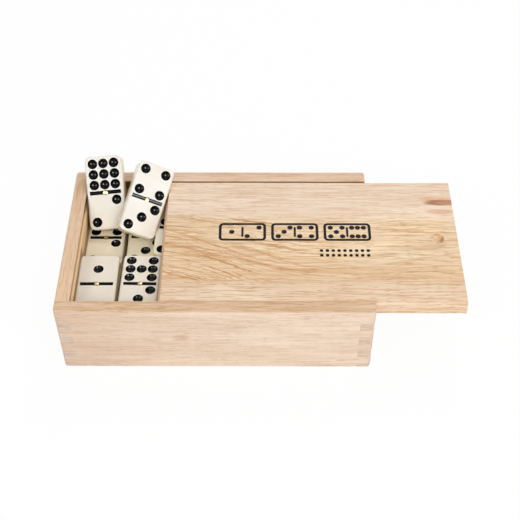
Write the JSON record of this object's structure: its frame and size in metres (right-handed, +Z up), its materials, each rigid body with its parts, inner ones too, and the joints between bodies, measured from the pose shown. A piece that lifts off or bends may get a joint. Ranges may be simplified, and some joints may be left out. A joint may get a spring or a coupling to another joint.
{
  "type": "domino storage box",
  "caption": "Finger-jointed wooden case with a sliding dovetail lid, open part way, holding a full set of pinned dominoes with two tiles leaning out.",
  "frame": {"origin": "centre of the case's underside, on the surface that the box stands on", "axes": "+X the way the lid slides out, +Y towards the back wall, +Z up"},
  "size_m": [0.2445, 0.122, 0.0716],
  "materials": {
    "case_wood": "pale pinkish beige hardwood with fine short pores, sanded and clear matt finished",
    "lid_wood": "golden beige hardwood board, straight grain along the lid with a few darker streaks, clear satin finish",
    "base_wood": "thin pale wooden bottom panel, sanded",
    "tile_resin": "warm ivory resin, polished, pips and bar filled with glossy black enamel",
    "pin_brass": "small polished brass pins with domed heads"
  },
  "bodies": {
    "case": {"front_wall": "case_wood", "back_wall": "case_wood", "left_end_wall": "case_wood", "right_end_wall": "case_wood", "base_panel": "base_wood", "front_tiles_1": "tile_resin", "front_tiles_2": "tile_resin", "front_tiles_3": "tile_resin", "front_tiles_4": "tile_resin", "rear_tiles_1": "tile_resin", "rear_tiles_2": "tile_resin", "rear_tiles_3": "tile_resin", "rear_tiles_4": "tile_resin", "front_pins_1": "pin_brass", "front_pins_2": "pin_brass", "front_pins_3": "pin_brass", "front_pins_4": "pin_brass", "rear_pins_1": "pin_brass", "rear_pins_2": "pin_brass", "rear_pins_3": "pin_brass", "rear_pins_4": "pin_brass", "tile_4_2": "tile_resin", "tile_5_3": "tile_resin", "tile_3_2": "tile_resin", "pin_4_2": "pin_brass", "pin_5_3": "pin_brass", "pin_3_2": "pin_brass"},
    "lid_body": {"lid": "lid_wood"},
    "loose_tile_1_0": {"tile_1_0": "tile_resin", "pin_1_0": "pin_brass"},
    "loose_tile_7_3": {"tile_7_3": "tile_resin", "pin_7_3": "pin_brass"},
    "loose_tile_9_2": {"tile_9_2": "tile_resin", "pin_9_2": "pin_brass"},
    "loose_tile_4_3": {"tile_4_3": "tile_resin", "pin_4_3": "pin_brass"}
  },
  "joints": [
    {"name": "lid_slide", "type": "slide", "parent": "case", "child": "lid_body", "axis": [1, 0, 0], "range_m": [0, 0.131]},
    {"name": "tile_9_2_draw", "type": "slide", "parent": "case", "child": "loose_tile_9_2", "axis": [-0.0915, 0.7489, 0.6563], "range_m": [0, 0.06]},
    {"name": "tile_4_3_lift", "type": "slide", "parent": "case", "child": "loose_tile_4_3", "axis": [0, 0, 1], "range_m": [0, 0.06]},
    {"name": "tile_1_0_lift", "type": "slide", "parent": "case", "child": "loose_tile_1_0", "axis": [0, 0, 1], "range_m": [0, 0.06]},
    {"name": "tile_7_3_lift", "type": "slide", "parent": "case", "child": "loose_tile_7_3", "axis": [0, 0, 1], "range_m": [0, 0.06]}
  ]
}
